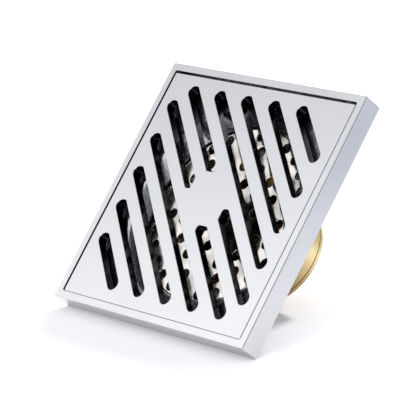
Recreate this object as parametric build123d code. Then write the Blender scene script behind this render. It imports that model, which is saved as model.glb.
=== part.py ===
from build123d import *

import math
import os

# A square brass floor drain, in millimetres, installed the right way up: +Z is up, and the
# origin is the centre of the outlet pipe's open end. Heights are measured up from that end.

# Cover and frame
TOP_Z = 44.3
FRAME_SIDE = 100.0
FRAME_DEPTH = 8.2
FRAME_EDGE = 0.25
RECESS_SIDE = 94.1
COVER_SIDE = 92.9
COVER_THICK = 4.3
COVER_EDGE = 0.12
# The cover lies loose in its recess. It is drawn pushed to one side, as it slides on a tilt.
COVER_SHIFT = (0.27, -0.43)
PAD_THICK = 0.7
PAD_SIZE = (16.0, 2.2)
TRAY_SIDE = 87.2
TRAY_CORNER = 3.0
KEY_GROOVE_SIDES = (96.4, 91.2)
KEY_GROOVE_DEPTH = 1.6

# Slots in the cover, cut at 45 degrees along lines x + y = constant
SLOT_WIDTH = 5.0
SLOT_PITCH = 10.0
SLOT_REACH = 39.65
FULL_SLOT_LINES = (1.5, 2.5, 3.5, 4.5)
SPLIT_SLOT_LINE = 0.5
BLANK_FAR = 10.3
BLANK_NEAR = 2.3

# Pan, bowl and outlet
TRAY_FLOOR_Z = 37.6
TRAY_FLOOR_R = 41.5
TRAY_EDGE_R = 4.0
WELL_R = 36.0
WELL_TOP_Z = 32.8
SEAT_Z = 30.0
SEAT_R = 33.0
BOWL_FLOOR_Z = 24.8
BOWL_FLOOR_R = 30.2
SOCKET_TOP_Z = 22.9
NECK_R = 23.7
NECK_Z = 15.0
CAST_EDGE_R = 2.0
RIB_THICK = 2.4
PIPE_R = 20.7
PIPE_BORE_R = 18.4
PIPE_SPIGOT_R = 20.2
PIPE_SHOULDER_Z = 14.4
PIPE_GROOVE_Z = 2.0
PIPE_GROOVE = 0.4

# Hair strainer
STRAINER_R = 35.4
STRAINER_TOP_Z = 32.0
STRAINER_THICK = 0.6
STRAINER_BEND = 0.5
STRAINER_HOLE_EDGE = 0.2
STRAINER_HOLE_R = 2.1
LIFT_HOLE_R = 4.2
HOLE_RINGS = ((13.0, 10, 12.6), (20.0, 15, 2.9), (26.3, 21, 1.0), (32.4, 27, 0.0))

# Core: a flanged cup that stands in the outlet pipe
GASKET_THICK = 0.8
FLANGE_R = 24.6
FLANGE_THICK = 1.6
CUP_R = 17.95
CUP_BORE_R = 15.6
CUP_LOWER_BORE_R = 14.6
CUP_MOUTH_R = 12.6
CUP_Z = 12.0
CUP_LIP_Z = 14.0
GUIDE_Z = 16.0
GUIDE_THICK = 1.4
GUIDE_R = 15.5
GUIDE_HUB_R = 4.4
GUIDE_HUB_Z = (15.2, 18.2)
CIRCLIP_THICK = 0.8
ORING_Z = (14.1, 21.2)
ORING_GROOVE = (1.1, 1.9)
ORING_WIRE_R = 0.74
ORING_R = 17.6

# Valve: everything on the stem
STEM_R = 2.0
STEM_Z = (7.0, 30.2)
BUSH_R = 3.2
BUSH_BORE_R = 2.06
SEAL_R = 15.2
SEAL_THICK = 1.4
VALVE_THICK = 1.6
CLAMP_R = 11.8
CLAMP_THICK = 1.0
COLLAR = (3.4, 1.2)
WASHER = (3.9, 0.5)
NUT_ACROSS_FLATS = 7.0
NUT_THICK = 1.6
CAP_R = 5.2
CAP_Z = 28.3
CAP_THICK = 0.8
CLIP_THICK = 0.6
SPRING_R = 3.5
SPRING_WIRE_R = 0.4
SPRING_TURNS = 5

os.makedirs("parts", exist_ok=True)


def ring(outer_r, inner_r, low_z, high_z):
    """A flat ring or sleeve around Z between two heights."""
    shape = Cylinder(outer_r, high_z - low_z, align=(Align.CENTER, Align.CENTER, Align.MIN))
    if inner_r > 0:
        shape -= Cylinder(inner_r, high_z - low_z, align=(Align.CENTER, Align.CENTER, Align.MIN))
    return Pos(0, 0, low_z) * shape


def turned(points, rounds=()):
    """The solid of revolution around Z of a closed outline of (radius, height) points.

    Each entry of rounds is a radius and the outline's corners that it rounds."""
    outline = make_face(Polyline([(r, 0, z) for r, z in points], close=True))
    for radius, corners in rounds:
        picked = [
            v for v in outline.vertices()
            if any(math.hypot(v.X - r, v.Z - z) < 0.01 for r, z in corners)
        ]
        outline = fillet(picked, radius)
    return revolve(outline, Axis.Z)


def square_block(side, low_z, high_z, corner=0.0):
    """An upright square block centred on Z, with rounded vertical corners."""
    face = RectangleRounded(side, side, corner) if corner else Rectangle(side, side)
    return Pos(0, 0, low_z) * extrude(face, high_z - low_z)


def full_slot(line):
    """The outline of one slot along x + y = line, round at both ends."""
    near = abs(line) - SLOT_REACH
    length = (SLOT_REACH - near) * math.sqrt(2)
    place = Location((line / 2, line / 2, 0), (0, 0, -45))
    return place * SlotCenterToCenter(length, SLOT_WIDTH)


def split_slot(line, side, along_x):
    """Half of a middle slot. It stops at the blank centre with an end that is square to the plate."""
    low_x, low_y = (BLANK_FAR, BLANK_NEAR) if along_x else (BLANK_NEAR, BLANK_FAR)
    reach = FRAME_SIDE / 2
    quarter = Pos(low_x, low_y) * Rectangle(reach, reach, align=(Align.MIN, Align.MIN))
    quarter = mirror(quarter, Plane.XZ) if side > 0 else mirror(quarter, Plane.YZ)
    cut = full_slot(line) & quarter
    inner = [v for v in cut.vertices() if abs(v.X) + abs(v.Y) < SLOT_REACH / 2]
    return fillet(inner, 1.0)


def cover_slots():
    """The outlines of all the slots."""
    step = SLOT_PITCH * math.sqrt(2)
    shapes = [full_slot(sign * k * step) for k in FULL_SLOT_LINES for sign in (-1, 1)]
    middle = SPLIT_SLOT_LINE * step
    shapes += [split_slot(middle, 1, True), split_slot(-middle, -1, True)]
    shapes += [split_slot(middle, -1, False), split_slot(-middle, 1, False)]
    return shapes


def cover_grate():
    """The cast plate, with a fine chamfer around its top and every slot."""
    low_z = TOP_Z - COVER_THICK
    plate = Pos(*COVER_SHIFT, 0) * square_block(COVER_SIDE, low_z, TOP_Z, corner=0.6)
    for outline in cover_slots():
        plate -= Pos(0, 0, low_z) * extrude(outline, COVER_THICK)
    return chamfer(plate.faces().sort_by(Axis.Z)[-1].edges(), COVER_EDGE)


def cover_pads():
    """Four rubber strips glued under the plate's edges, one on each side of the ledge."""
    low_z = TOP_Z - COVER_THICK - PAD_THICK
    middle = (TRAY_SIDE + COVER_SIDE) / 4
    strip = Box(*PAD_SIZE, PAD_THICK, align=(Align.CENTER, Align.CENTER, Align.MIN))
    strips = [
        Pos(*COVER_SHIFT, low_z) * Rot(0, 0, 90 * k) * Pos(0, -middle, 0) * strip for k in range(4)
    ]
    return Compound(children=strips)


def frame_body():
    """The casting: square frame, tray, well for the strainer, bowl, and neck for the pipe."""
    under_z = TOP_Z - FRAME_DEPTH
    frame = square_block(FRAME_SIDE, under_z, TOP_Z, corner=0.4)
    frame = chamfer(frame.faces().sort_by(Axis.Z)[-1].edges(), FRAME_EDGE)
    groove = square_block(KEY_GROOVE_SIDES[0], under_z, under_z + KEY_GROOVE_DEPTH, 1.0)
    groove -= square_block(KEY_GROOVE_SIDES[1], under_z, under_z + KEY_GROOVE_DEPTH, 1.0)
    cast_corners = [(38.4, 31.6), (38.2, 28.9), (31.5, 22.8), (26.0, 22.8), (NECK_R, 20.6)]
    bowl = turned([
        (0, under_z + 0.5), (44.6, under_z + 0.5), (44.6, under_z), *cast_corners,
        (NECK_R, NECK_Z), (0, NECK_Z),
    ], [(CAST_EDGE_R, cast_corners)])
    rib = make_face(Polyline([
        (30.0, 0, 23.0), (33.0, 0, 23.6), (44.5, 0, under_z - 0.6), (44.5, 0, under_z + 0.4),
        (30.0, 0, under_z + 0.4),
    ], close=True))
    rib = extrude(rib, RIB_THICK / 2, both=True)
    ribs = [Rot(0, 0, 90 * k) * rib for k in range(4)]
    body = frame - groove + bowl + ribs
    body -= square_block(RECESS_SIDE, TOP_Z - COVER_THICK - PAD_THICK, TOP_Z, corner=0.8)
    body -= square_block(TRAY_SIDE, TRAY_FLOOR_Z, TOP_Z, TRAY_CORNER)
    tray_edge = (TRAY_FLOOR_R, TRAY_FLOOR_Z)
    bowl_corners = [(SEAT_R, BOWL_FLOOR_Z + 2.8), (BOWL_FLOOR_R, BOWL_FLOOR_Z)]
    hollow = turned([
        (0, TRAY_FLOOR_Z + 0.2), (TRAY_SIDE / 2 - 0.1, TRAY_FLOOR_Z + 0.2),
        (TRAY_SIDE / 2 - 0.1, TRAY_FLOOR_Z), tray_edge, (WELL_R, WELL_TOP_Z), (WELL_R, SEAT_Z),
        (SEAT_R, SEAT_Z), *bowl_corners, (PIPE_BORE_R, BOWL_FLOOR_Z),
        (PIPE_BORE_R, SOCKET_TOP_Z), (PIPE_SPIGOT_R, SOCKET_TOP_Z), (PIPE_SPIGOT_R, NECK_Z),
        (0, NECK_Z),
    ], [(TRAY_EDGE_R, [tray_edge]), (CAST_EDGE_R, bowl_corners)])
    return body - hollow


def tail_pipe():
    """The turned outlet pipe: a fine groove near its open end and a spigot that fits the neck."""
    half = PIPE_GROOVE / 2
    return turned([
        (PIPE_BORE_R + 0.5, 0), (PIPE_R - 0.3, 0), (PIPE_R, 0.3),
        (PIPE_R, PIPE_GROOVE_Z - half), (PIPE_R - PIPE_GROOVE, PIPE_GROOVE_Z),
        (PIPE_R, PIPE_GROOVE_Z + half), (PIPE_R, PIPE_SHOULDER_Z),
        (PIPE_SPIGOT_R, PIPE_SHOULDER_Z), (PIPE_SPIGOT_R, SOCKET_TOP_Z),
        (PIPE_BORE_R, SOCKET_TOP_Z), (PIPE_BORE_R, 0.5),
    ])


def strainer_disc():
    """The pressed disc: a short turned-down rim, rings of round holes and a centre lift hole."""
    disc = ring(STRAINER_R, 0, SEAT_Z, STRAINER_TOP_Z)
    disc -= ring(STRAINER_R - STRAINER_THICK, 0, SEAT_Z, STRAINER_TOP_Z - STRAINER_THICK)
    height = STRAINER_TOP_Z - SEAT_Z
    hole = Cylinder(STRAINER_HOLE_R, height, align=(Align.CENTER, Align.CENTER, Align.MIN))
    holes = [
        Rot(0, 0, phase + 360 * k / count) * Pos(radius, 0, SEAT_Z) * hole
        for radius, count, phase in HOLE_RINGS
        for k in range(count)
    ]
    disc -= holes
    disc -= ring(LIFT_HOLE_R, 0, SEAT_Z, STRAINER_TOP_Z)
    top = disc.faces().sort_by(Axis.Z)[-1]
    disc = fillet([edge for wire in top.inner_wires() for edge in wire.edges()], STRAINER_HOLE_EDGE)
    return fillet(disc.faces().sort_by(Axis.Z)[-1].outer_wire().edges(), STRAINER_BEND)


def core_housing():
    """The cup: a flange on the bowl's floor, two seal grooves, and a valve mouth below."""
    flange_z = BOWL_FLOOR_Z + GASKET_THICK
    top_z = flange_z + FLANGE_THICK
    groove_r = CUP_R - ORING_GROOVE[0]
    half = ORING_GROOVE[1] / 2
    outside = [(CUP_MOUTH_R, CUP_Z), (CUP_R - 0.4, CUP_Z), (CUP_R, CUP_Z + 0.4)]
    for z in ORING_Z:
        outside += [(CUP_R, z - half), (groove_r, z - half), (groove_r, z + half), (CUP_R, z + half)]
    outside += [(CUP_R, flange_z), (FLANGE_R, flange_z), (FLANGE_R, top_z - 0.5)]
    outside += [(FLANGE_R - 0.5, top_z)]
    clip_z = GUIDE_Z + GUIDE_THICK
    inside = [
        (CUP_BORE_R + 0.6, top_z), (CUP_BORE_R, top_z - 0.6), (CUP_BORE_R, clip_z + CIRCLIP_THICK),
        (CUP_BORE_R + 0.5, clip_z + CIRCLIP_THICK), (CUP_BORE_R + 0.5, clip_z),
        (CUP_BORE_R, clip_z), (CUP_BORE_R, GUIDE_Z), (CUP_LOWER_BORE_R, GUIDE_Z),
        (CUP_LOWER_BORE_R, CUP_LIP_Z), (CUP_MOUTH_R, CUP_LIP_Z - 0.6),
    ]
    return turned(outside + inside)


def core_gasket():
    """The flat washer under the flange."""
    return ring(FLANGE_R - 0.4, CUP_R + 0.2, BOWL_FLOOR_Z, BOWL_FLOOR_Z + GASKET_THICK)


def core_orings():
    """Two O-rings in the cup's grooves."""
    return Compound(children=[Pos(0, 0, z) * Torus(ORING_R, ORING_WIRE_R) for z in ORING_Z])


def core_guide():
    """The bridge: a rim, three spokes and a hub for the bush."""
    top_z = GUIDE_Z + GUIDE_THICK
    bridge = ring(GUIDE_R, GUIDE_R - 2.0, GUIDE_Z, top_z)
    spoke = Box(GUIDE_R - 1.0, 2.6, GUIDE_THICK, align=(Align.MIN, Align.CENTER, Align.MIN))
    for k in range(3):
        bridge += Rot(0, 0, 120 * k) * Pos(0, 0, GUIDE_Z) * spoke
    bridge += ring(GUIDE_HUB_R, 0, *GUIDE_HUB_Z)
    return bridge - ring(BUSH_R, 0, *GUIDE_HUB_Z)


def guide_bush():
    """The plain bush that the stem slides in."""
    return ring(BUSH_R, BUSH_BORE_R, *GUIDE_HUB_Z)


def guide_circlip():
    """The snap ring over the bridge, open over its gap."""
    low_z = GUIDE_Z + GUIDE_THICK
    clip = ring(CUP_BORE_R + 0.4, CUP_BORE_R - 1.3, low_z, low_z + CIRCLIP_THICK)
    gap = Box(6.0, 7.0, CIRCLIP_THICK, align=(Align.MIN, Align.CENTER, Align.MIN))
    return clip - Pos(CUP_BORE_R - 4.0, 0, low_z) * gap


def return_spring():
    """The round-wire compression spring between the bridge and the cap."""
    low_z = GUIDE_HUB_Z[1] + SPRING_WIRE_R
    height = CAP_Z - SPRING_WIRE_R - low_z
    coil = Helix(pitch=height / SPRING_TURNS, height=height, radius=SPRING_R, center=(0, 0, low_z))
    wire = Plane(origin=coil @ 0, z_dir=coil % 0) * Circle(SPRING_WIRE_R)
    return sweep(wire, path=coil, is_frenet=True)


def valve_stem():
    """The stem, with its collar above the clamp plate and a groove for the snap ring."""
    collar_z = CUP_Z + CLAMP_THICK
    groove_r = STEM_R - 0.5
    low_z, high_z = STEM_Z
    clip_z = CAP_Z + CAP_THICK
    return turned([
        (0, low_z), (STEM_R - 0.3, low_z), (STEM_R, low_z + 0.3), (STEM_R, collar_z),
        (COLLAR[0], collar_z), (COLLAR[0], collar_z + COLLAR[1]), (STEM_R, collar_z + COLLAR[1]),
        (STEM_R, clip_z), (groove_r, clip_z), (groove_r, clip_z + CLIP_THICK),
        (STEM_R, clip_z + CLIP_THICK), (STEM_R, high_z - 0.2), (STEM_R - 0.2, high_z), (0, high_z),
    ])


def clamp_plate():
    """The plate that holds the seal down from above."""
    return ring(CLAMP_R, STEM_R, CUP_Z, CUP_Z + CLAMP_THICK)


def valve_gasket():
    """The silicone disc that closes the cup's mouth."""
    return ring(SEAL_R, STEM_R, CUP_Z - SEAL_THICK, CUP_Z)


def valve_disc():
    """The backing plate under the seal, dished on its underside."""
    high_z = CUP_Z - SEAL_THICK
    low_z = high_z - VALVE_THICK
    return turned([
        (STEM_R, low_z), (7.0, low_z), (SEAL_R - 0.8, high_z - 0.7), (SEAL_R, high_z - 0.5),
        (SEAL_R, high_z), (STEM_R, high_z),
    ])


def lock_washer():
    """The spring washer between the backing plate and the nut."""
    high_z = CUP_Z - SEAL_THICK - VALVE_THICK
    return ring(WASHER[0], STEM_R, high_z - WASHER[1], high_z)


def stem_nut():
    """The hexagon nut at the stem's foot."""
    high_z = CUP_Z - SEAL_THICK - VALVE_THICK - WASHER[1]
    hexagon = RegularPolygon(NUT_ACROSS_FLATS / 2, 6, major_radius=False)
    nut = Pos(0, 0, high_z - NUT_THICK) * extrude(hexagon, NUT_THICK)
    return nut - ring(STEM_R, 0, high_z - NUT_THICK, high_z)


def spring_cap():
    """The cap that the spring pushes up, with a short skirt around the coil's top."""
    high_z = CAP_Z + CAP_THICK
    return turned([
        (STEM_R, CAP_Z), (SPRING_R + 0.6, CAP_Z), (SPRING_R + 0.6, CAP_Z - 1.2),
        (CAP_R, CAP_Z - 1.2), (CAP_R, high_z - 0.4), (CAP_R - 0.4, high_z), (STEM_R, high_z),
    ])


def cap_clip():
    """The snap ring in the stem's groove, over the cap."""
    low_z = CAP_Z + CAP_THICK
    clip = ring(3.6, STEM_R - 0.5, low_z, low_z + CLIP_THICK)
    gap = Box(5.0, 2.4, CLIP_THICK, align=(Align.MIN, Align.CENTER, Align.MIN))
    return clip - Pos(0, 0, low_z) * gap


PARTS = (
    frame_body, tail_pipe, cover_grate, cover_pads, strainer_disc, core_housing, core_gasket,
    core_orings, core_guide, guide_bush, guide_circlip, return_spring, valve_stem, clamp_plate,
    valve_gasket, valve_disc, lock_washer, stem_nut, spring_cap, cap_clip,
)
for make in PARTS:
    export_step(make(), f"parts/{make.__name__}.step")
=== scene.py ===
import math

import bmesh
import bpy
import numpy as np
from mathutils import Matrix, Vector


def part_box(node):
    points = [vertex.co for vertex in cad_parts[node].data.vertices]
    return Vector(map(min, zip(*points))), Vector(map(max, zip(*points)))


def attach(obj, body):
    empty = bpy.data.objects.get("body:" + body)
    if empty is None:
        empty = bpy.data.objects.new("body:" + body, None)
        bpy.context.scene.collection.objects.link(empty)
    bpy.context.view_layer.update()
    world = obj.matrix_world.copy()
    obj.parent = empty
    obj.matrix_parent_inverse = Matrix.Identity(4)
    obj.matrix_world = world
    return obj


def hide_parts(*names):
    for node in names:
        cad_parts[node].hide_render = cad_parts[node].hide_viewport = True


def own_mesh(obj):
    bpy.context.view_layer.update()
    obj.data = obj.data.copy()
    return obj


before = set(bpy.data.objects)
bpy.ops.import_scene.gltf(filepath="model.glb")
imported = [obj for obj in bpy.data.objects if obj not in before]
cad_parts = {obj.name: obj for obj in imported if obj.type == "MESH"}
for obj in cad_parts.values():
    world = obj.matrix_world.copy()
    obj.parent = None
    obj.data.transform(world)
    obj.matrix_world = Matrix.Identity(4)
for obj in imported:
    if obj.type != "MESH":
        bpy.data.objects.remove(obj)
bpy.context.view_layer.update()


# ---- Frame ----------------------------------------------------------------------------
# One brass casting: the square frame, the tray inside it, the round well and bowl, and the
# neck for the pipe. It is chrome plated all over. Only the rim and sides are then buffed to
# a mirror; the tray stays as machined, and the underside keeps the grain of the sand mould.

frame_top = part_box("frame_body")[1].z
frame_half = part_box("frame_body")[1].x


def linear(code):
    """The linear colour, with alpha 1, of an sRGB hex code."""
    parts = [int(code[i:i + 2], 16) / 255 for i in (1, 3, 5)]
    return (*(c / 12.92 if c <= 0.04045 else ((c + 0.055) / 1.055) ** 2.4 for c in parts), 1.0)


def add(tree, kind, inputs=None, **settings):
    """Adds one shader node. Each input is a value, or another node's output to link from."""
    node = tree.nodes.new(kind)
    for name, value in settings.items():
        setattr(node, name, value)
    for name, value in (inputs or {}).items():
        if isinstance(value, bpy.types.NodeSocket):
            tree.links.new(value, node.inputs[name])
        else:
            node.inputs[name].default_value = value
    return node


def new_material(name, **fixed):
    """A material with its node tree, Principled shader and Object coordinates.

    Each keyword sets the shader's input of that name, with spaces for underscores."""
    material = bpy.data.materials.new(name)
    material.use_nodes = True
    tree = material.node_tree
    shader = tree.nodes["Principled BSDF"]
    for key, value in fixed.items():
        shader.inputs[key.replace("_", " ")].default_value = value
    return material, tree, shader, add(tree, "ShaderNodeTexCoord").outputs["Object"]


def wire_up(tree, shader, **outputs):
    """Links each output to the shader's input of that name, with spaces for underscores."""
    for key, output in outputs.items():
        tree.links.new(output, shader.inputs[key.replace("_", " ")])


def welded(node, name, smooth_angle=32.0):
    """A copy of a CAD node's mesh with its loose triangles joined into one surface.

    Corners at the same place, to a tenth of a micron, become one vertex. Edges that turn by
    more than smooth_angle degrees stay sharp, and each corner's normal is weighted by the
    area of the faces around it, so flat faces stay flat beside rounded edges."""
    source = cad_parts[node].data
    points = np.empty(len(source.vertices) * 3, np.float32)
    source.vertices.foreach_get("co", points)
    corners = np.empty(len(source.loops), np.int32)
    source.loops.foreach_get("vertex_index", corners)
    keys = np.round(points.reshape(-1, 3).astype(float) * 1e7).astype(np.int64)
    unique, index = np.unique(keys, axis=0, return_inverse=True)
    faces = index.reshape(-1)[corners].reshape(-1, 3)
    first, second, third = faces.T
    whole = (first != second) & (second != third) & (third != first)
    mesh = bpy.data.meshes.new(name)
    mesh.from_pydata((unique / 1e7).tolist(), [], faces[whole].tolist())
    mesh.shade_smooth()
    mesh.set_sharp_from_angle(angle=math.radians(smooth_angle))
    piece = bpy.data.objects.new(name, mesh)
    bpy.context.scene.collection.objects.link(piece)
    weighted = piece.modifiers.new("weighted normals", "WEIGHTED_NORMAL")
    weighted.keep_sharp = True
    weighted.weight = 80
    return piece


def face_places(piece):
    """The centre and the outward normal of each face of a piece, as two arrays."""
    polygons = piece.data.polygons
    centres = np.empty(len(polygons) * 3, np.float32)
    normals = np.empty(len(polygons) * 3, np.float32)
    polygons.foreach_get("center", centres)
    polygons.foreach_get("normal", normals)
    return centres.reshape(-1, 3), normals.reshape(-1, 3)


def install(piece, finishes, node, body, index=None):
    """Gives a piece its finishes and puts it in a CAD node's place on that node's body.

    Where there are several finishes, index names one of them for each face."""
    for material in finishes:
        piece.data.materials.append(material)
    if index is not None:
        piece.data.polygons.foreach_set("material_index", np.asarray(index, np.int32))
    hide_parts(node)
    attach(piece, body)


def bright_chrome():
    """Decorative chrome over buffed brass: a cool grey mirror, hazed a little by the wheel."""
    material, tree, shader, coordinates = new_material("bright chrome plate, buffed", Metallic=1.0)
    haze = add(tree, "ShaderNodeTexNoise", {
        "Vector": coordinates, "Scale": 1 / 0.022, "Detail": 3.0, "Roughness": 0.5})
    colour = add(tree, "ShaderNodeMix", {
        0: haze.outputs[0], 6: linear("#C3C4C7"), 7: linear("#CBCCCE")}, data_type="RGBA")
    roughness = add(tree, "ShaderNodeMapRange", {
        "Value": haze.outputs[0], "From Min": 0.3, "From Max": 0.7,
        "To Min": 0.11, "To Max": 0.16})
    # Buffing lines are finer than the eye sees, so they are drawn 0.25 mm apart and 6 mm long.
    lines = add(tree, "ShaderNodeMapping", {
        "Vector": coordinates, "Scale": (160.0, 4000.0, 4000.0)})
    streaks = add(tree, "ShaderNodeTexNoise", {
        "Vector": lines.outputs[0], "Scale": 1.0, "Detail": 2.0, "Roughness": 0.6})
    bump = add(tree, "ShaderNodeBump", {
        "Height": streaks.outputs[0], "Strength": 0.04, "Distance": 0.00002})
    wire_up(tree, shader, Base_Color=colour.outputs[2], Roughness=roughness.outputs[0],
            Normal=bump.outputs[0])
    return material


def machined_chrome():
    """Chrome over machined brass that was never buffed: satin and uneven, with water marks."""
    material, tree, shader, coordinates = new_material("chrome plate, as machined", Metallic=1.0)
    marks = add(tree, "ShaderNodeTexNoise", {
        "Vector": coordinates, "Scale": 1 / 0.009, "Detail": 4.0, "Roughness": 0.6})
    # The grey is set darker than buffed chrome, partly as painted shade that keeps the tray dark
    # deep in the slots.
    colour = add(tree, "ShaderNodeMix", {
        0: marks.outputs[0], 6: linear("#A4A6AB"), 7: linear("#BBBDC2")}, data_type="RGBA")
    roughness = add(tree, "ShaderNodeMapRange", {
        "Value": marks.outputs[0], "From Min": 0.3, "From Max": 0.7,
        "To Min": 0.18, "To Max": 0.32})
    dents = add(tree, "ShaderNodeTexNoise", {
        "Vector": coordinates, "Scale": 1 / 0.006, "Detail": 3.0, "Roughness": 0.6})
    bump = add(tree, "ShaderNodeBump", {
        "Height": dents.outputs[0], "Strength": 1.0, "Distance": 0.0003})
    wire_up(tree, shader, Base_Color=colour.outputs[2], Roughness=roughness.outputs[0],
            Normal=bump.outputs[0])
    return material


def cast_chrome():
    """Chrome over an untouched sand-cast skin: a soft grey metal with grain about 0.7 mm wide."""
    material, tree, shader, coordinates = new_material("chrome plate on a cast skin", Metallic=1.0)
    grain = add(tree, "ShaderNodeTexNoise", {
        "Vector": coordinates, "Scale": 1 / 0.0007, "Detail": 3.0, "Roughness": 0.6})
    patches = add(tree, "ShaderNodeTexNoise", {
        "Vector": coordinates, "Scale": 1 / 0.015, "Detail": 3.0})
    colour = add(tree, "ShaderNodeMix", {
        0: patches.outputs[0], 6: linear("#8E9094"), 7: linear("#B9BABE")}, data_type="RGBA")
    roughness = add(tree, "ShaderNodeMapRange", {
        "Value": patches.outputs[0], "From Min": 0.3, "From Max": 0.7,
        "To Min": 0.30, "To Max": 0.45})
    bump = add(tree, "ShaderNodeBump", {
        "Height": grain.outputs[0], "Strength": 0.45, "Distance": 0.0001})
    wire_up(tree, shader, Base_Color=colour.outputs[2], Roughness=roughness.outputs[0],
            Normal=bump.outputs[0])
    return material


buffed, machined = bright_chrome(), machined_chrome()
casting = welded("frame_body", "frame_casting")
centre, normal = face_places(casting)
recess_half = 0.0471
rim = np.abs(centre[:, :2]).max(axis=1) > recess_half
outward = (centre[:, :2] * normal[:, :2]).sum(axis=1) > 0
downward = normal[:, 2] < -0.05
under = downward | (outward & ~rim)
install(casting, [buffed, machined, cast_chrome()], "frame_body", "drain",
        np.where(under, 2, np.where(rim, 0, 1)))


# ---- Outlet pipe ----------------------------------------------------------------------
# A short brass tube, turned on a lathe and soldered into the casting's neck. It isn't
# plated, so it keeps the warm yellow of brass and the fine rings that the tool left.


def tool_rings(tree, coordinates):
    """The rings that a lathe tool leaves: noise along radius plus height, alike all the way round.

    The real feed is about 0.1 mm; the rings are drawn 0.3 mm apart so that they show."""
    flat = add(tree, "ShaderNodeVectorMath", {
        0: coordinates, 1: (1.0, 1.0, 0.0)}, operation="MULTIPLY")
    radius = add(tree, "ShaderNodeVectorMath", {0: flat.outputs[0]}, operation="LENGTH")
    height = add(tree, "ShaderNodeSeparateXYZ", {0: coordinates})
    along = add(tree, "ShaderNodeMath", {0: radius.outputs["Value"], 1: height.outputs["Z"]})
    return add(tree, "ShaderNodeTexNoise", {
        "W": along.outputs[0], "Scale": 1 / 0.0003, "Detail": 2.0, "Roughness": 0.5},
        noise_dimensions="1D").outputs[0]


def turned_brass():
    """Bare lathe-turned brass: pale yellow and satin, browner in random tarnish patches, and
    painted browner towards -Y as shade.
    """
    material, tree, shader, coordinates = new_material("brass, lathe turned", Metallic=1.0)
    tarnish = add(tree, "ShaderNodeTexNoise", {
        "Vector": coordinates, "Scale": 1 / 0.012, "Detail": 4.0, "Roughness": 0.55})
    colour = add(tree, "ShaderNodeMix", {
        0: tarnish.outputs[0], 6: linear("#C0A05A"), 7: linear("#F4E6B8")}, data_type="RGBA")
    # Painted shade: the colour turns dark brown towards -Y, the pipe's side nearest the floor.
    place = add(tree, "ShaderNodeSeparateXYZ", {0: coordinates})
    shade = add(tree, "ShaderNodeMapRange", {
        "Value": place.outputs["Y"], "From Min": 0.004, "From Max": -0.015, "To Max": 0.85})
    colour = add(tree, "ShaderNodeMix", {
        0: shade.outputs[0], 6: colour.outputs[2], 7: linear("#775025")}, data_type="RGBA")
    rings = tool_rings(tree, coordinates)
    roughness = add(tree, "ShaderNodeMapRange", {
        "Value": rings, "From Min": 0.3, "From Max": 0.7,
        "To Min": 0.18, "To Max": 0.30})
    bump = add(tree, "ShaderNodeBump", {"Height": rings, "Strength": 0.3, "Distance": 0.00003})
    wire_up(tree, shader, Base_Color=colour.outputs[2], Roughness=roughness.outputs[0],
            Normal=bump.outputs[0])
    return material


def brass_painted_dark():
    """Turned brass painted brown and dim as shade, for the parts deep in the drain, with random
    patches.
    """
    material, tree, shader, coordinates = new_material("brass, turned, painted dark as shade", Metallic=1.0)
    stains = add(tree, "ShaderNodeTexNoise", {
        "Vector": coordinates, "Scale": 1 / 0.007, "Detail": 5.0, "Roughness": 0.6})
    colour = add(tree, "ShaderNodeMix", {
        0: stains.outputs[0], 6: linear("#745730"), 7: linear("#A9874D")}, data_type="RGBA")
    rings = tool_rings(tree, coordinates)
    bump = add(tree, "ShaderNodeBump", {"Height": rings, "Strength": 0.3, "Distance": 0.00003})
    wire_up(tree, shader, Base_Color=colour.outputs[2], Normal=bump.outputs[0])
    shader.inputs["Roughness"].default_value = 0.24
    return material


brass, shade_dark_brass = turned_brass(), brass_painted_dark()
pipe = welded("tail_pipe", "outlet_pipe")
centre, normal = face_places(pipe)
radius = np.hypot(centre[:, 0], centre[:, 1])
pipe_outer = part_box("tail_pipe")[1].x
# Faces sunk in the groove near the lip take the brass painted dark, as painted shade in the groove.
groove_top, groove_floor = 0.0001, 0.0008
pipe_lip = 0.0015
sunk = pipe_outer - radius
in_groove = (sunk > groove_top) & (sunk < groove_floor) & (centre[:, 2] > pipe_lip)
install(pipe, [brass, shade_dark_brass], "tail_pipe", "drain", np.where(in_groove, 1, 0))


# ---- Cover ----------------------------------------------------------------------------
# A cast brass plate with slots milled through it, chrome plated and buffed on its top. It
# lies loose on the frame's ledge. The slot walls and the underside are unbuffed, and painted nearly
# black as shade.


def shade_painted_chrome():
    """The chrome inside slots and under the cover, painted nearly black as shade, in uneven
    patches.
    """
    material, tree, shader, coordinates = new_material("chrome plate, painted dark as shade", Metallic=1.0)
    patches = add(tree, "ShaderNodeTexNoise", {
        "Vector": coordinates, "Scale": 1 / 0.006, "Detail": 3.0, "Roughness": 0.55})
    # Painted shade: a nearly black grey stands in for the dark inside the slots and under the
    # cover.
    colour = add(tree, "ShaderNodeMix", {
        0: patches.outputs[0], 6: linear("#2C2D31"), 7: linear("#3F4045")}, data_type="RGBA")
    roughness = add(tree, "ShaderNodeMapRange", {
        "Value": patches.outputs[0], "From Min": 0.3, "From Max": 0.7,
        "To Min": 0.10, "To Max": 0.20})
    wire_up(tree, shader, Base_Color=colour.outputs[2], Roughness=roughness.outputs[0])
    return material


cover = welded("cover_grate", "cover_plate")
upward = face_places(cover)[1][:, 2] > 0.3

# The square edges under the cover are worn round, and take the buffed chrome rather than the
# painted shade.
worn = cover.modifiers.new("worn edges", "BEVEL")
worn.limit_method = "ANGLE"
worn.angle_limit = math.radians(60)
worn.width = 0.00018
worn.segments = 2
worn.material = 0
cover.modifiers.move(1, 0)
# Faces that don't face up take the chrome painted dark as shade.
install(cover, [buffed, shade_painted_chrome()], "cover_grate", "cover",
        np.where(upward, 0, 1))


# ---- Cover pads -----------------------------------------------------------------------
# Four strips of black rubber, cut from extruded cord and glued under the cover's edges, so
# that the cover sits flush and doesn't rattle on its ledge.


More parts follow.
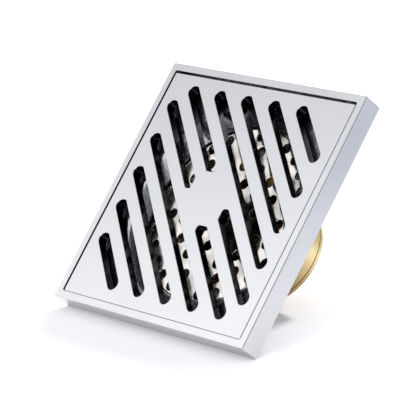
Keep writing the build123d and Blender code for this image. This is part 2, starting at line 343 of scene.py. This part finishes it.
def black_rubber():
    """Moulded black rubber: matt, with a fine grain from the mould and a grey bloom in patches."""
    material, tree, shader, coordinates = new_material("rubber, moulded black")
    bloom = add(tree, "ShaderNodeTexNoise", {
        "Vector": coordinates, "Scale": 1 / 0.005, "Detail": 4.0, "Roughness": 0.6})
    colour = add(tree, "ShaderNodeMix", {
        0: bloom.outputs[0], 6: linear("#161617"), 7: linear("#2B2B2D")}, data_type="RGBA")
    roughness = add(tree, "ShaderNodeMapRange", {
        "Value": bloom.outputs[0], "From Min": 0.3, "From Max": 0.7,
        "To Min": 0.48, "To Max": 0.66})
    grain = add(tree, "ShaderNodeTexNoise", {
        "Vector": coordinates, "Scale": 1 / 0.0002, "Detail": 2.0})
    bump = add(tree, "ShaderNodeBump", {
        "Height": grain.outputs[0], "Strength": 0.3, "Distance": 0.00004})
    wire_up(tree, shader, Base_Color=colour.outputs[2], Roughness=roughness.outputs[0],
            Normal=bump.outputs[0])
    return material


rubber = black_rubber()
pads = welded("cover_pads", "cover_pad_strips")
softened = pads.modifiers.new("rounded edges", "BEVEL")
softened.width = 0.00015
softened.segments = 3
install(pads, [rubber], "cover_pads", "cover")


# ---- Hair strainer --------------------------------------------------------------------
# A disc of thin stainless sheet, pierced and pressed, then polished to a mirror. The press
# leaves it slightly wavy, which bends the reflections of the slots above it.


def polished_stainless():
    """Polished sheet stainless: a warm mirror whose surface waves over 10 to 20 mm."""
    material, tree, shader, coordinates = new_material("stainless sheet, polished", Metallic=1.0)
    waves = add(tree, "ShaderNodeTexNoise", {
        "Vector": coordinates, "Scale": 1 / 0.013, "Detail": 1.0, "Roughness": 0.4})
    bump = add(tree, "ShaderNodeBump", {
        "Height": waves.outputs[0], "Strength": 1.0, "Distance": 0.0011})
    smears = add(tree, "ShaderNodeTexNoise", {
        "Vector": coordinates, "Scale": 1 / 0.005, "Detail": 3.0})
    colour = add(tree, "ShaderNodeMix", {
        0: smears.outputs[0], 6: linear("#BBB5B0"), 7: linear("#D2CECA")}, data_type="RGBA")
    roughness = add(tree, "ShaderNodeMapRange", {
        "Value": smears.outputs[0], "From Min": 0.3, "From Max": 0.7,
        "To Min": 0.08, "To Max": 0.15})
    wire_up(tree, shader, Base_Color=colour.outputs[2], Roughness=roughness.outputs[0],
            Normal=bump.outputs[0])
    return material


strainer = welded("strainer_disc", "hair_strainer")
install(strainer, [polished_stainless()], "strainer_disc", "strainer")


# ---- Cup ------------------------------------------------------------------------------
# The core's body, turned from brass bar: a flange that stands on the bowl's floor, a bore
# for the water, two seal grooves outside and the valve's mouth at its foot.

# The cup takes the brass painted dark, as shade for the inside of the drain.
install(welded("core_housing", "core_cup"), [shade_dark_brass], "core_housing", "core")


# ---- Cup seals ------------------------------------------------------------------------
# A flat rubber washer under the cup's flange, and two O-rings in its grooves that seal it
# in the outlet pipe. All three are moulded, and the O-rings show the mould's parting line.

gasket_low, gasket_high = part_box("core_gasket")
gasket_bore = 0.01815
ring_low, ring_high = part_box("core_orings")
ring_wire = 0.00074
flash_height = 0.04
flash_width = 0.12


def rounded(corners, radius, steps=5):
    """A closed outline of (radius, height) corners, with each corner rounded.

    A curve replaces each corner: it starts and ends the given distance along the corner's
    two sides, or at 0.4 of a shorter side, and bends towards the corner in between."""
    corners = np.asarray(corners, float)
    curves = []
    for end in (np.roll(corners, 1, axis=0), np.roll(corners, -1, axis=0)):
        side = end - corners
        length = np.linalg.norm(side, axis=1, keepdims=True)
        curves.append(corners + side / length * np.minimum(radius, 0.4 * length))
    t = np.linspace(0, 1, steps)[None, :, None]
    start, stop = curves[0][:, None], curves[1][:, None]
    curve = (1 - t) ** 2 * start + 2 * t * (1 - t) * corners[:, None] + t ** 2 * stop
    outline = curve.reshape(-1, 2)
    return np.vstack([outline, outline[:1]])


def lathe(outline, sides=128):
    """The grid of points of an outline of (radius, height) points turned once around Z."""
    outline = np.asarray(outline, float)
    turn = np.linspace(0, 2 * np.pi, sides + 1)[:, None]
    radius, height = outline[None, :, 0], outline[None, :, 1]
    return np.stack([radius * np.cos(turn), radius * np.sin(turn), height + 0 * turn], axis=-1)


def grid_piece(name, *grids, sharp_angle=38.0):
    """A piece made of grids of points, where each four neighbours make a face.

    Points that meet are merged, which closes seams and poles, and all faces are then turned
    to point outwards. Edges that turn by more than sharp_angle degrees stay sharp."""
    points, faces, count = [], [], 0
    for grid in grids:
        rows, columns = grid.shape[:2]
        index = count + np.arange(rows * columns).reshape(rows, columns)
        quads = [index[:-1, :-1], index[:-1, 1:], index[1:, 1:], index[1:, :-1]]
        faces += np.stack(quads, axis=-1).reshape(-1, 4).tolist()
        points += grid.reshape(-1, 3).tolist()
        count += rows * columns
    mesh = bpy.data.meshes.new(name)
    mesh.from_pydata(points, [], faces)
    shell = bmesh.new()
    shell.from_mesh(mesh)
    bmesh.ops.remove_doubles(shell, verts=shell.verts, dist=2e-7)
    bmesh.ops.recalc_face_normals(shell, faces=shell.faces)
    shell.to_mesh(mesh)
    shell.free()
    mesh.shade_smooth()
    mesh.set_sharp_from_angle(angle=math.radians(sharp_angle))
    piece = bpy.data.objects.new(name, mesh)
    bpy.context.scene.collection.objects.link(piece)
    return piece


def o_ring(middle_radius, wire_radius, height):
    """The grid of a torus whose wire swells into a low ridge on its inner and outer sides.

    The ridge is a bell curve of the angle around the wire, measured from its mid plane."""
    around = np.linspace(0, 2 * np.pi, 41)
    from_plane = np.abs(np.arcsin(np.sin(around)))
    wire = wire_radius * (1 + flash_height * np.exp(-(from_plane / flash_width) ** 2))
    outline = [middle_radius + wire * np.cos(around), height + wire * np.sin(around)]
    return lathe(np.stack(outline, axis=1))


washer = rounded([
    (gasket_bore, gasket_low.z), (gasket_high.x, gasket_low.z),
    (gasket_high.x, gasket_high.z), (gasket_bore, gasket_high.z)], radius=0.00012)
install(grid_piece("flange_washer", lathe(washer)), [rubber], "core_gasket", "core")

ring_middle = ring_high.x - ring_wire
ring_heights = (ring_low.z + ring_wire, ring_high.z - ring_wire)
o_rings = grid_piece("cup_o_rings", *(o_ring(ring_middle, ring_wire, z) for z in ring_heights))
install(o_rings, [rubber], "core_orings", "core")


# ---- Stem guide -----------------------------------------------------------------------
# A three-spoke bridge of brass that rests on a step in the cup. A white acetal bush is
# pressed into its hub, and a snap ring of spring steel holds it down.

bush_low, bush_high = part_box("guide_bush")
bush_bore = 0.00206
clip_low, clip_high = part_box("guide_circlip")
clip_width = 0.0015
ear_width = 0.0018
ear_length = 0.16
clip_gap = 0.40
ring_steps = 121


def white_acetal():
    """Moulded acetal: a milky white plastic, waxy and slightly glossy, with faint flow marks."""
    material, tree, shader, coordinates = new_material(
        "acetal, moulded white", IOR=1.48, Subsurface_Weight=0.15, Subsurface_Scale=0.001)
    flow = add(tree, "ShaderNodeTexNoise", {
        "Vector": coordinates, "Scale": 1 / 0.004, "Detail": 2.0, "Distortion": 0.6})
    colour = add(tree, "ShaderNodeMix", {
        0: flow.outputs[0], 6: linear("#DDDAD0"), 7: linear("#EDEBE4")}, data_type="RGBA")
    roughness = add(tree, "ShaderNodeMapRange", {
        "Value": flow.outputs[0], "From Min": 0.3, "From Max": 0.7,
        "To Min": 0.30, "To Max": 0.42})
    wire_up(tree, shader, Base_Color=colour.outputs[2], Roughness=roughness.outputs[0])
    return material


def spring_steel():
    """Drawn and tempered spring steel: bright grey, with thin blue-brown traces of the oven."""
    material, tree, shader, coordinates = new_material(
        "spring steel, drawn and tempered", Metallic=1.0)
    traces = add(tree, "ShaderNodeTexNoise", {
        "Vector": coordinates, "Scale": 1 / 0.003, "Detail": 4.0, "Roughness": 0.6})
    colour = add(tree, "ShaderNodeMix", {
        0: traces.outputs[0], 6: linear("#85817E"), 7: linear("#B1B4B9")}, data_type="RGBA")
    roughness = add(tree, "ShaderNodeMapRange", {
        "Value": traces.outputs[0], "From Min": 0.3, "From Max": 0.7,
        "To Min": 0.18, "To Max": 0.32})
    wire_up(tree, shader, Base_Color=colour.outputs[2], Roughness=roughness.outputs[0])
    return material


def open_ring(inner, outer, low, high, gap, rise=0.0):
    """The grid of a flat ring with a gap at +X, its corners broken, and both its ends closed.

    A rectangle with cut corners is carried around Z from half the gap to the whole turn less
    half the gap. The inner and outer radius may differ at each angle, and the ring climbs by
    rise."""
    turn = np.linspace(gap / 2, 2 * np.pi - gap / 2, ring_steps)
    inner, outer = np.broadcast_to(inner, ring_steps), np.broadcast_to(outer, ring_steps)
    cut = 0.15 * (high - low)
    lifted = rise * np.linspace(-0.5, 0.5, ring_steps)
    radius = np.stack([
        inner, inner + cut, outer - cut, outer,
        outer, outer - cut, inner + cut, inner, inner], axis=1)
    height = np.array([
        low + cut, low, low, low + cut,
        high - cut, high, high, high - cut, low + cut])
    height = height[None, :] + lifted[:, None]
    middle = np.stack([(inner + outer) / 2, (low + high) / 2 + lifted], axis=1)[[0, -1]]
    radius = np.vstack([np.full((1, 9), middle[0, 0]), radius, np.full((1, 9), middle[1, 0])])
    height = np.vstack([np.full((1, 9), middle[0, 1]), height, np.full((1, 9), middle[1, 1])])
    turn = np.concatenate([turn[:1], turn, turn[-1:]])[:, None]
    return np.stack([radius * np.cos(turn), radius * np.sin(turn), height], axis=-1)


# The bridge takes the brass painted dark, as shade for the inside of the drain.
install(welded("core_guide", "stem_guide"), [shade_dark_brass], "core_guide", "core")

acetal, steel = white_acetal(), spring_steel()
bush = rounded([
    (bush_bore, bush_low.z), (bush_high.x, bush_low.z),
    (bush_high.x, bush_high.z), (bush_bore, bush_high.z)], radius=0.00025)
install(grid_piece("stem_bush", lathe(bush, sides=64)), [acetal], "guide_bush", "core")

# The snap ring widens inwards into an ear at each end, where the pliers hold it.
from_end = np.linspace(0, 2 * np.pi - clip_gap, ring_steps)
from_end = np.minimum(from_end, from_end[::-1])
ear = ear_width * (1 - np.clip(from_end / ear_length, 0, 1) ** 4)
snap_ring = open_ring(
    clip_high.y - clip_width - ear, clip_high.y, clip_low.z, clip_high.z, clip_gap)
install(grid_piece("guide_snap_ring", snap_ring), [steel], "guide_circlip", "core")


# ---- Return spring --------------------------------------------------------------------
# A compression spring of round steel wire between the bridge and the cap. Its end turns
# are closed and ground flat. It shortens as the valve opens.

spring_low, spring_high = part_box("return_spring")
spring_wire = 0.0004
spring_turns = 6.0
closed_turns = 0.9
grind = 0.0002


def coil(radius, wire, low, high):
    """The grid of a wire wound around Z, with closed and ground ends.

    The wire's middle climbs by its own thickness a turn at the ends and by an even pitch
    between them, and a circle is carried along it. Heights past low and high are cut flat."""
    path = np.linspace(0, 1, 481)
    ends = closed_turns / spring_turns
    slope = np.clip(np.minimum(path, 1 - path) / ends - 0.75, 0, 1)
    bottom, top = low + wire - grind, high - wire + grind
    closed = 2 * wire * spring_turns
    open_part = np.cumsum(slope) / slope.sum()
    middle = bottom + closed * path + (top - bottom - closed) * open_part
    turn = 2 * np.pi * spring_turns * path
    around = np.linspace(0, 2 * np.pi, 17)
    wire_radius = np.where((path == 0) | (path == 1), 0.0, wire)[:, None]
    distance = radius + wire_radius * np.cos(around)
    height = np.clip(middle[:, None] + wire_radius * np.sin(around), low, high)
    return np.stack([
        distance * np.cos(turn)[:, None], distance * np.sin(turn)[:, None], height], axis=-1)


spring = grid_piece("coil_spring", coil(
    spring_high.x - spring_wire, spring_wire, spring_low.z, spring_high.z))
install(spring, [steel], "return_spring", "core")
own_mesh(spring)


# ---- Valve stem and its plates --------------------------------------------------------
# A stainless stem, turned with a collar. The collar, a clamp plate, a silicone seal, a brass
# backing plate, a spring washer and a nut are stacked on its lower end and drawn together.

stem_low, stem_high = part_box("valve_stem")
stem_radius = 0.002
groove_radius = 0.0015
axis_radius, axis_reach = 0.0002, 0.00035
clamp_low, clamp_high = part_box("clamp_plate")
press_outer, press_inner = 0.0022, 0.0044
press_side, press_depth = 0.0005, 0.00025
collar_radius, collar_height = 0.0034, 0.0012
cap_low, cap_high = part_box("spring_cap")
seal_low, seal_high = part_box("valve_gasket")
bead_width, bead_side, bead_depth = 0.0026, 0.0003, 0.0002
plate_low, plate_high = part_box("valve_disc")
boss_radius, plate_edge = 0.007, 0.0005
cut_width, cut_height = 0.0008, 0.0002
split_low, split_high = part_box("lock_washer")
split_gap, split_rise = 0.22, 0.00008
nut_low, nut_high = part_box("stem_nut")
nut_chamfer_radius = 0.0034


def turned_stainless():
    """Turned stainless bar: cool grey, satin, with fine tool rings."""
    material, tree, shader, coordinates = new_material("stainless bar, turned", Metallic=1.0)
    rings = tool_rings(tree, coordinates)
    smears = add(tree, "ShaderNodeTexNoise", {
        "Vector": coordinates, "Scale": 1 / 0.006, "Detail": 3.0})
    colour = add(tree, "ShaderNodeMix", {
        0: smears.outputs[0], 6: linear("#AFADA9"), 7: linear("#CBCAC7")}, data_type="RGBA")
    roughness = add(tree, "ShaderNodeMapRange", {
        "Value": rings, "From Min": 0.3, "From Max": 0.7,
        "To Min": 0.20, "To Max": 0.34})
    bump = add(tree, "ShaderNodeBump", {"Height": rings, "Strength": 0.3, "Distance": 0.00003})
    wire_up(tree, shader, Base_Color=colour.outputs[2], Roughness=roughness.outputs[0],
            Normal=bump.outputs[0])
    return material


def milky_silicone():
    """Moulded silicone: translucent white, soft and slightly dusty, with a faint mould grain."""
    material, tree, shader, coordinates = new_material(
        "silicone, moulded translucent", IOR=1.41, Subsurface_Weight=0.4, Subsurface_Scale=0.002)
    dust = add(tree, "ShaderNodeTexNoise", {
        "Vector": coordinates, "Scale": 1 / 0.004, "Detail": 5.0, "Roughness": 0.65})
    colour = add(tree, "ShaderNodeMix", {
        0: dust.outputs[0], 6: linear("#C4C2BA"), 7: linear("#DAD9D4")}, data_type="RGBA")
    roughness = add(tree, "ShaderNodeMapRange", {
        "Value": dust.outputs[0], "From Min": 0.3, "From Max": 0.7,
        "To Min": 0.38, "To Max": 0.55})
    grain = add(tree, "ShaderNodeTexNoise", {
        "Vector": coordinates, "Scale": 1 / 0.00025, "Detail": 1.0})
    bump = add(tree, "ShaderNodeBump", {
        "Height": grain.outputs[0], "Strength": 0.2, "Distance": 0.00003})
    wire_up(tree, shader, Base_Color=colour.outputs[2], Roughness=roughness.outputs[0],
            Normal=bump.outputs[0])
    return material


def hexagon_nut(low, high, across_flats, chamfer_radius, bore):
    """The grid of a chamfered hexagon nut.

    At each angle the wall's radius is the hexagon's, or that of a 60 degree cone that starts at
    the chamfer radius on each end face, whichever is less. The bore is countersunk at both ends."""
    steps = 241
    turn = np.linspace(0, 2 * np.pi, steps)[:, None]
    hexagon = across_flats / 2 / np.cos(turn % (np.pi / 3) - np.pi / 6)
    height = np.linspace(low, high, 33)[None, :]
    cone = chamfer_radius + np.tan(np.pi / 3) * np.minimum(height - low, high - height)
    wall = np.minimum(hexagon, cone)
    sink = 0.15 * bore
    inner = np.array([
        (bore + sink, high), (bore, high - sink), (bore, low + sink), (bore + sink, low)])
    radius = np.hstack([wall, np.broadcast_to(inner[:, 0], (steps, 4)), wall[:, :1]])
    height = np.concatenate([height[0], inner[:, 1], [low]])[None, :]
    return np.stack([radius * np.cos(turn), radius * np.sin(turn), height + 0 * turn], axis=-1)


stainless = turned_stainless()
collar_low = clamp_high.z
collar_top = collar_low + collar_height
clip_top = cap_high.z + (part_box("cap_clip")[1].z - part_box("cap_clip")[0].z)
stem = rounded([
    (axis_radius, stem_low.z), (stem_radius, stem_low.z), (stem_radius, collar_low),
    (collar_radius, collar_low), (collar_radius, collar_top), (stem_radius, collar_top),
    (stem_radius, cap_high.z), (groove_radius, cap_high.z), (groove_radius, clip_top),
    (stem_radius, clip_top), (stem_radius, stem_high.z), (axis_radius, stem_high.z)],
    radius=0.00018)
stem[:, 0] = np.where(stem[:, 0] < axis_reach, 0.0, stem[:, 0])
install(grid_piece("stem", lathe(stem, sides=64)), [stainless], "valve_stem", "valve")

# A shallow groove runs round the clamp plate, where the press has stiffened it.
press_floor = clamp_high.z - press_depth
clamp = rounded([
    (stem_radius, clamp_low.z), (clamp_high.x, clamp_low.z), (clamp_high.x, clamp_high.z),
    (clamp_high.x - press_outer, clamp_high.z),
    (clamp_high.x - press_outer - press_side, press_floor),
    (clamp_high.x - press_inner + press_side, press_floor),
    (clamp_high.x - press_inner, clamp_high.z), (stem_radius, clamp_high.z)], radius=0.0003)
install(grid_piece("seal_clamp", lathe(clamp)), [stainless], "clamp_plate", "valve")

# The seal's top is relieved between two flat beads, and the outer bead meets the cup's mouth.
seal = rounded([
    (stem_radius, seal_low.z), (seal_high.x, seal_low.z), (seal_high.x, seal_high.z),
    (seal_high.x - bead_width, seal_high.z),
    (seal_high.x - bead_width - bead_side, seal_high.z - bead_depth),
    (clamp_high.x + bead_side, seal_high.z - bead_depth), (clamp_high.x, seal_high.z),
    (stem_radius, seal_high.z)], radius=0.00035)
install(grid_piece("seal", lathe(seal)), [milky_silicone()], "valve_gasket", "valve")

backing = rounded([
    (stem_radius, plate_low.z), (boss_radius, plate_low.z),
    (plate_high.x - cut_width, plate_high.z - plate_edge - cut_height),
    (plate_high.x, plate_high.z - plate_edge), (plate_high.x, plate_high.z),
    (stem_radius, plate_high.z)], radius=0.0003)
install(grid_piece("backing_plate", lathe(backing)), [brass], "valve_disc", "valve")

split_washer = open_ring(
    stem_radius, split_high.x, split_low.z + split_rise / 2, split_high.z - split_rise / 2,
    split_gap, split_rise)
install(grid_piece("split_washer", split_washer), [stainless], "lock_washer", "valve")

nut = hexagon_nut(nut_low.z, nut_high.z, 2 * nut_high.y, nut_chamfer_radius, stem_radius)
install(grid_piece("hexagon_nut", nut, sharp_angle=20.0), [stainless], "stem_nut", "valve")


# ---- Spring cap -----------------------------------------------------------------------
# A small acetal cup over the spring's top. A snap ring in the stem's groove keeps it there,
# so the spring pushes the stem up and the valve shut.

skirt_inner = 0.0041
cap_clip_low, cap_clip_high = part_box("cap_clip")
cap_clip_gap = 1.0
crown_thickness = 0.0008
cap_crown = cap_high.z - crown_thickness
cap = rounded([
    (stem_radius, cap_crown), (skirt_inner, cap_crown), (skirt_inner, cap_low.z),
    (cap_high.x, cap_low.z), (cap_high.x, cap_high.z), (stem_radius, cap_high.z)],
    radius=0.00028)
install(grid_piece("spring_cup", lathe(cap, sides=96)), [acetal], "spring_cap", "valve")

cap_ring = open_ring(groove_radius, cap_clip_high.y, cap_clip_low.z, cap_clip_high.z, cap_clip_gap)
install(grid_piece("cap_snap_ring", cap_ring), [steel], "cap_clip", "valve")


# ---- Camera, floor and light ----------------------------------------------------------
# The drain leans on the frame's lower edge and on the rim of its outlet pipe, so the floor
# is the plane through both. It shows from above only, and other views see past it.

pipe_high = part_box("tail_pipe")[1]
frame_depth = 0.0082
across = Vector((1.0, 0.0, 0.0))
lean_edge = Vector((0.0, -frame_half, frame_top - frame_depth))
lean_pipe = Vector((0.0, -pipe_high.x, 0.0))
floor_up = (lean_edge - lean_pipe).cross(across).normalized()
floor_along = floor_up.cross(across)
floor_size = 3.0

floor_mesh = bpy.data.meshes.new("floor")
floor_mesh.from_pydata(
    [lean_edge + floor_size * (i * across + j * floor_along)
     for i, j in ((-1, -1), (1, -1), (1, 1), (-1, 1))], [], [(0, 1, 2, 3)])
floor = bpy.data.objects.new("floor", floor_mesh)
bpy.context.scene.collection.objects.link(floor)
floor_material, tree, shader, coordinates = new_material(
    "white paper", Roughness=0.9, Specular_IOR_Level=0.0)
fibres = add(tree, "ShaderNodeTexNoise", {
    "Vector": coordinates, "Scale": 1 / 0.0005, "Detail": 2.0})
paper = add(tree, "ShaderNodeMix", {
    0: fibres.outputs[0], 6: linear("#F8F7F9"), 7: linear("#FCFBFC")}, data_type="RGBA")
# Past the right of the view the paper falls into shade, which the frame's side reflects.
place = add(tree, "ShaderNodeSeparateXYZ", {0: coordinates})
outside = add(tree, "ShaderNodeMapRange", {
    "Value": place.outputs["X"], "From Min": 0.06, "From Max": 0.28},
    interpolation_type="SMOOTHSTEP")
colour = add(tree, "ShaderNodeMix", {
    0: outside.outputs[0], 6: paper.outputs[2], 7: linear("#C3C7CF")}, data_type="RGBA")
wire_up(tree, shader, Base_Color=colour.outputs[2])
side = add(tree, "ShaderNodeNewGeometry")
clear = add(tree, "ShaderNodeBsdfTransparent")
mixed = add(tree, "ShaderNodeMixShader", {
    0: side.outputs["Backfacing"], 1: shader.outputs[0], 2: clear.outputs[0]})
tree.links.new(mixed.outputs[0], tree.nodes["Material Output"].inputs["Surface"])
floor_mesh.materials.append(floor_material)

camera_data = bpy.data.cameras.new("camera")
camera = bpy.data.objects.new("camera", camera_data)
bpy.context.scene.collection.objects.link(camera)
camera_data.sensor_width = 36.0
camera_data.lens = 219.5
camera_back = Vector((0.7138, -0.2275, 0.6624)).normalized()
camera_up = Vector((-0.1583, 0.8689, 0.4690))
camera_right = camera_up.cross(camera_back).normalized()
camera_up = camera_back.cross(camera_right)
camera_place = (0.6550, -0.2113, frame_top + 0.6037)
camera.matrix_world = Matrix.Translation(camera_place) @ Matrix(
    (camera_right, camera_up, camera_back)).transposed().to_4x4()
bpy.context.scene.camera = camera

# The studio is a pale tent: brightest low and in front, dimmer at the back and overhead, and
# dark in one patch above the camera, where the tent is open.
world = bpy.data.worlds.new("studio")
bpy.context.scene.world = world
world.use_nodes = True
tree = world.node_tree
direction = add(tree, "ShaderNodeTexCoord").outputs["Generated"]
dim_side = Vector((-0.25, 0.90, -0.58)).normalized()
backward = add(tree, "ShaderNodeVectorMath", {0: direction, 1: dim_side}, operation="DOT_PRODUCT")
dimming = add(tree, "ShaderNodeMapRange", {
    "Value": backward.outputs["Value"], "From Min": -0.16, "From Max": 0.16},
    interpolation_type="SMOOTHSTEP")
tent = add(tree, "ShaderNodeMix", {
    0: dimming.outputs[0], 6: (1.90, 1.90, 1.91, 1.0), 7: (0.78, 0.79, 0.82, 1.0)},
    data_type="RGBA")
opening = Vector((0.66, 0.23, 0.715)).normalized()
toward = add(tree, "ShaderNodeVectorMath", {0: direction, 1: opening}, operation="DOT_PRODUCT")
opened = add(tree, "ShaderNodeMapRange", {
    "Value": toward.outputs["Value"], "From Min": 0.84, "From Max": 0.95},
    interpolation_type="SMOOTHSTEP")
studio = add(tree, "ShaderNodeMix", {
    0: opened.outputs[0], 6: tent.outputs[2], 7: (0.52, 0.53, 0.57, 1.0)}, data_type="RGBA")
tree.links.new(studio.outputs[2], tree.nodes["Background"].inputs["Color"])


def soft_box(name, place, size, power):
    """A square studio light that faces the middle of the cover."""
    data = bpy.data.lights.new(name, "AREA")
    data.energy, data.size = power, size
    light = bpy.data.objects.new(name, data)
    bpy.context.scene.collection.objects.link(light)
    light.location = place
    aim = Vector((0.0, 0.0, frame_top)) - light.location
    light.rotation_mode = "QUATERNION"
    light.rotation_quaternion = aim.to_track_quat("-Z", "Y")
    return light


# The key light stands behind the drain, so that the shadow falls towards the camera. The fill
# light stands low on the right and lifts the shade between the outlet pipe and the floor.
soft_box("key light", (-0.22, 1.16, -0.17), size=0.20, power=9.0)
soft_box("fill light", (0.85, 0.75, -0.35), size=0.35, power=2.5)

bpy.context.scene.view_settings.view_transform = "Standard"
